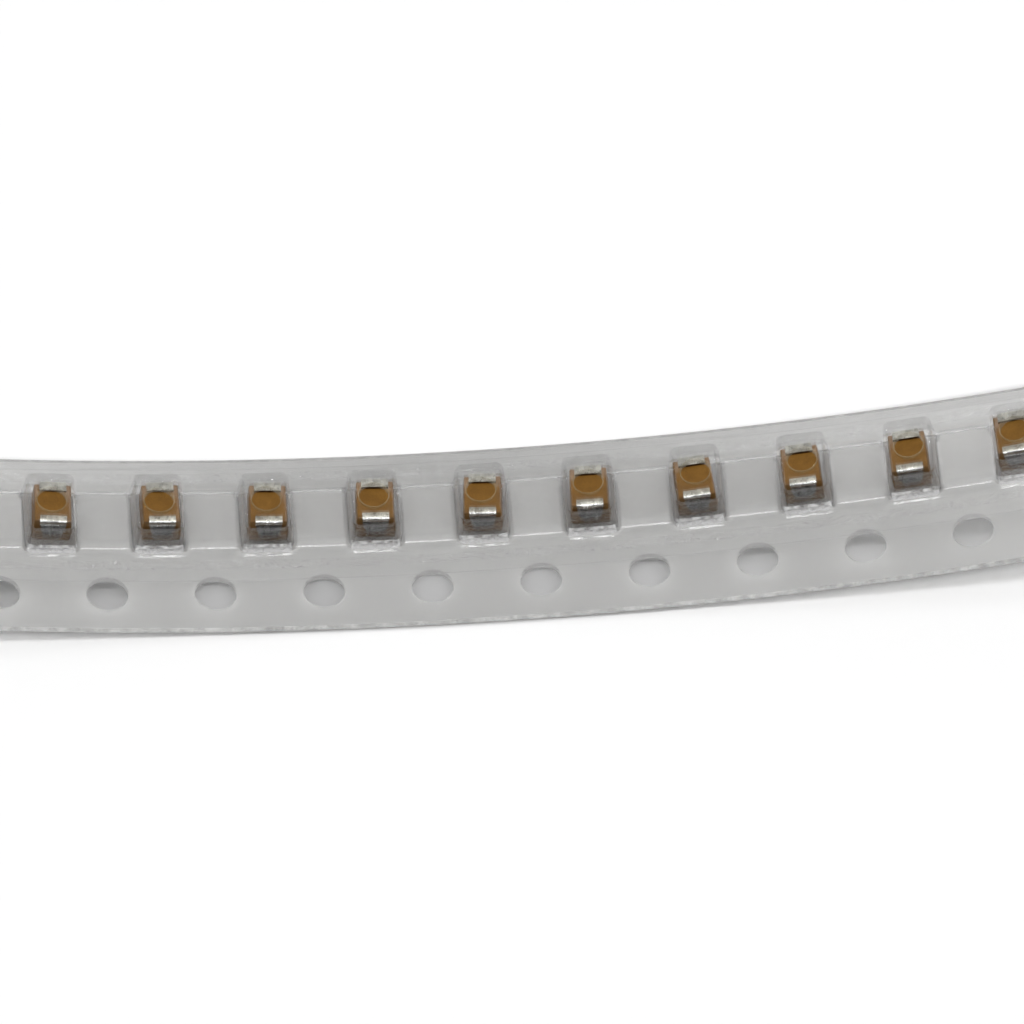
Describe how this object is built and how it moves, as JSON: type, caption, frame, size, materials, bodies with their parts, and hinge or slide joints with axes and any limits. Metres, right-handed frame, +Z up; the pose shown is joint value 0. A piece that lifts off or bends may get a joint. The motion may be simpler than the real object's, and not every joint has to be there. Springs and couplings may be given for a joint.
{
  "type": "strip of embossed carrier tape with chip capacitors",
  "caption": "Curled cut strip of clear 8 mm embossed carrier tape holding moulded chip capacitors in its pockets, sealed under a clear cover tape and fed by its edge holes.",
  "frame": {"origin": "on the surface the strip lies on, below the middle of the strip's length and width", "axes": "+X along the strip, +Y across it from the sprocket-hole edge towards the far edge, +Z up, out of the pocket side"},
  "size_m": [0.0478, 0.008, 0.0035],
  "materials": {
    "carrier_plastic": "clear thermoformed polystyrene sheet, glossy, slightly grey",
    "cover_film": "clear thin polyester film, glossy, with two faint heat-seal lines",
    "moulded_epoxy": "satin moulded epoxy, golden brown",
    "tinned_terminal": "tin-plated strip, bright at the bend and dull on the foot"
  },
  "bodies": {
    "root": {"carrier_tape": "carrier_plastic", "cover_tape": "cover_film", "chip_01_body": "moulded_epoxy", "chip_01_anode": "tinned_terminal", "chip_01_cathode": "tinned_terminal", "chip_02_body": "moulded_epoxy", "chip_02_anode": "tinned_terminal", "chip_02_cathode": "tinned_terminal", "chip_03_body": "moulded_epoxy", "chip_03_anode": "tinned_terminal", "chip_03_cathode": "tinned_terminal", "chip_04_body": "moulded_epoxy", "chip_04_anode": "tinned_terminal", "chip_04_cathode": "tinned_terminal", "chip_05_body": "moulded_epoxy", "chip_05_anode": "tinned_terminal", "chip_05_cathode": "tinned_terminal", "chip_06_body": "moulded_epoxy", "chip_06_anode": "tinned_terminal", "chip_06_cathode": "tinned_terminal", "chip_07_body": "moulded_epoxy", "chip_07_anode": "tinned_terminal", "chip_07_cathode": "tinned_terminal", "chip_08_body": "moulded_epoxy", "chip_08_anode": "tinned_terminal", "chip_08_cathode": "tinned_terminal", "chip_09_body": "moulded_epoxy", "chip_09_anode": "tinned_terminal", "chip_09_cathode": "tinned_terminal", "chip_10_body": "moulded_epoxy", "chip_10_anode": "tinned_terminal", "chip_10_cathode": "tinned_terminal", "chip_11_body": "moulded_epoxy", "chip_11_anode": "tinned_terminal", "chip_11_cathode": "tinned_terminal", "chip_12_body": "moulded_epoxy", "chip_12_anode": "tinned_terminal", "chip_12_cathode": "tinned_terminal"}
  },
  "joints": []
}
